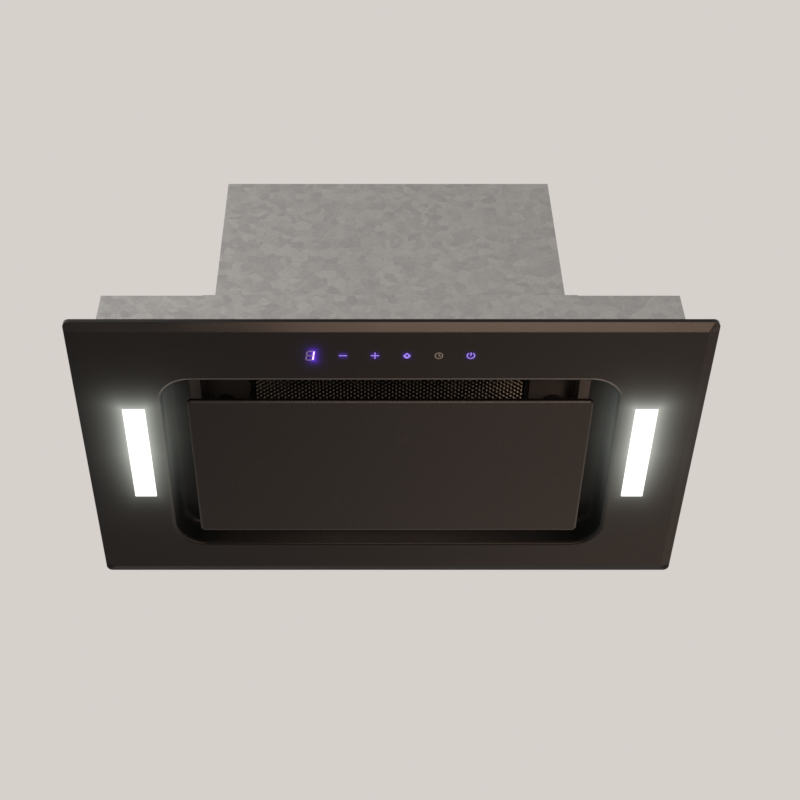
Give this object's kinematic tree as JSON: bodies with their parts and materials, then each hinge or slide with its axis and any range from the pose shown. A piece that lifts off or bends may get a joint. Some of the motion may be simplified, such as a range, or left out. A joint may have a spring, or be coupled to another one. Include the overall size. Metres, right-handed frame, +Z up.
{
  "type": "built-in range hood",
  "caption": "Built-in range hood with a black fascia, a hinged perimeter-suction plate over the filter, strip lamps, touch controls, a boxed blower and a round duct collar.",
  "frame": {"origin": "centre of the four cabinet screw holes, on the flange's top face, which is the seat plane under the cabinet", "axes": "+X to the right as the cook sees it, -Y towards the cook, +Z up into the cabinet"},
  "size_m": [0.588, 0.34, 0.31],
  "materials": {
    "fascia_black": "satin black, smooth",
    "plate_glass": "toughened glass, black behind, polished edge",
    "lens_opal": "opal diffuser",
    "pan_black": "black powder coat",
    "galvanised_steel": "zinc-coated sheet",
    "zinc_plated_steel": "zinc plated, bright",
    "filter_aluminium": "bare expanded aluminium",
    "frame_dark": "dark anodised",
    "magnet_nickel": "nickel plated",
    "black_plastic": "moulded, fine grain",
    "grey_plastic": "moulded",
    "white_plastic": "moulded",
    "clear_plastic": "clear light guide",
    "circuit_board": "lacquered board",
    "motor_enamel": "black enamel",
    "lamination_steel": "stacked laminations",
    "bearing_steel": "ground steel",
    "spring_steel": "spring steel",
    "black_rubber": "soft rubber",
    "grey_foam": "closed-cell foam"
  },
  "bodies": {
    "hood": {"fascia_panel": "fascia_black", "hinge_bracket_left": "zinc_plated_steel", "hinge_bracket_right": "zinc_plated_steel", "hinge_pins": "bearing_steel", "hinge_screws": "zinc_plated_steel", "magnet_posts": "black_plastic", "catch_magnets": "magnet_nickel", "inlet_pan": "pan_black", "filter_frame": "frame_dark", "filter_mesh": "filter_aluminium", "filter_core": "filter_aluminium", "latch_housing": "black_plastic", "latch_spring": "spring_steel", "lamp_lens_left": "lens_opal", "lamp_lens_right": "lens_opal", "lamp_housing_left": "white_plastic", "lamp_housing_right": "white_plastic", "led_board_left": "white_plastic", "led_board_right": "white_plastic", "display_module": "grey_plastic", "light_guides": "clear_plastic", "touch_board": "circuit_board", "control_cover": "black_plastic", "housing_tray": "galvanised_steel", "fascia_clips": "spring_steel", "blower_box": "galvanised_steel", "blower_lid": "galvanised_steel", "lid_screws": "zinc_plated_steel", "casing_left": "grey_plastic", "casing_right": "grey_plastic", "outlet_gasket": "grey_foam", "motor_can": "motor_enamel", "motor_end_cap": "motor_enamel", "motor_bearings": "bearing_steel", "motor_stator": "lamination_steel", "motor_bracket": "zinc_plated_steel", "motor_grommets": "black_rubber", "motor_screws": "zinc_plated_steel", "capacitor": "white_plastic", "capacitor_clamp": "zinc_plated_steel", "outlet_collar": "black_plastic", "collar_screws": "zinc_plated_steel", "flap_pin": "bearing_steel", "power_box": "black_plastic", "power_box_cover": "black_plastic", "power_board": "circuit_board", "terminal_block": "white_plastic", "cable_gland": "black_plastic"},
    "plate": {"glass_plate": "plate_glass", "plate_carrier": "zinc_plated_steel", "hinge_arm_left": "zinc_plated_steel", "hinge_arm_right": "zinc_plated_steel"},
    "rotor": {"impeller": "grey_plastic", "motor_shaft": "bearing_steel", "motor_rotor": "lamination_steel"},
    "front_flap": {"flap_front": "black_plastic"},
    "rear_flap": {"flap_rear": "black_plastic"},
    "latch": {"filter_latch": "black_plastic"}
  },
  "joints": [
    {"name": "plate_hinge", "type": "hinge", "parent": "hood", "child": "plate", "pos_m": [0, 0.0975, 0.007], "axis": [1, 0, 0], "range_deg": [0, 90]},
    {"name": "impeller_spin", "type": "hinge", "parent": "hood", "child": "rotor", "pos_m": [0, -0.02, 0.165], "axis": [1, 0, 0], "continuous": true},
    {"name": "front_flap_hinge", "type": "hinge", "parent": "hood", "child": "front_flap", "pos_m": [0, 0.044, 0.266], "axis": [-1, 0, 0], "range_deg": [0, 70]},
    {"name": "rear_flap_hinge", "type": "hinge", "parent": "hood", "child": "rear_flap", "pos_m": [0, 0.044, 0.266], "axis": [1, 0, 0], "range_deg": [0, 70]},
    {"name": "filter_latch_slide", "type": "slide", "parent": "hood", "child": "latch", "axis": [0, 1, 0], "range_m": [0, 0.005], "stiffness_N_per_m": 300, "springref_m": -0.003, "deforming": ["latch_spring"]}
  ]
}
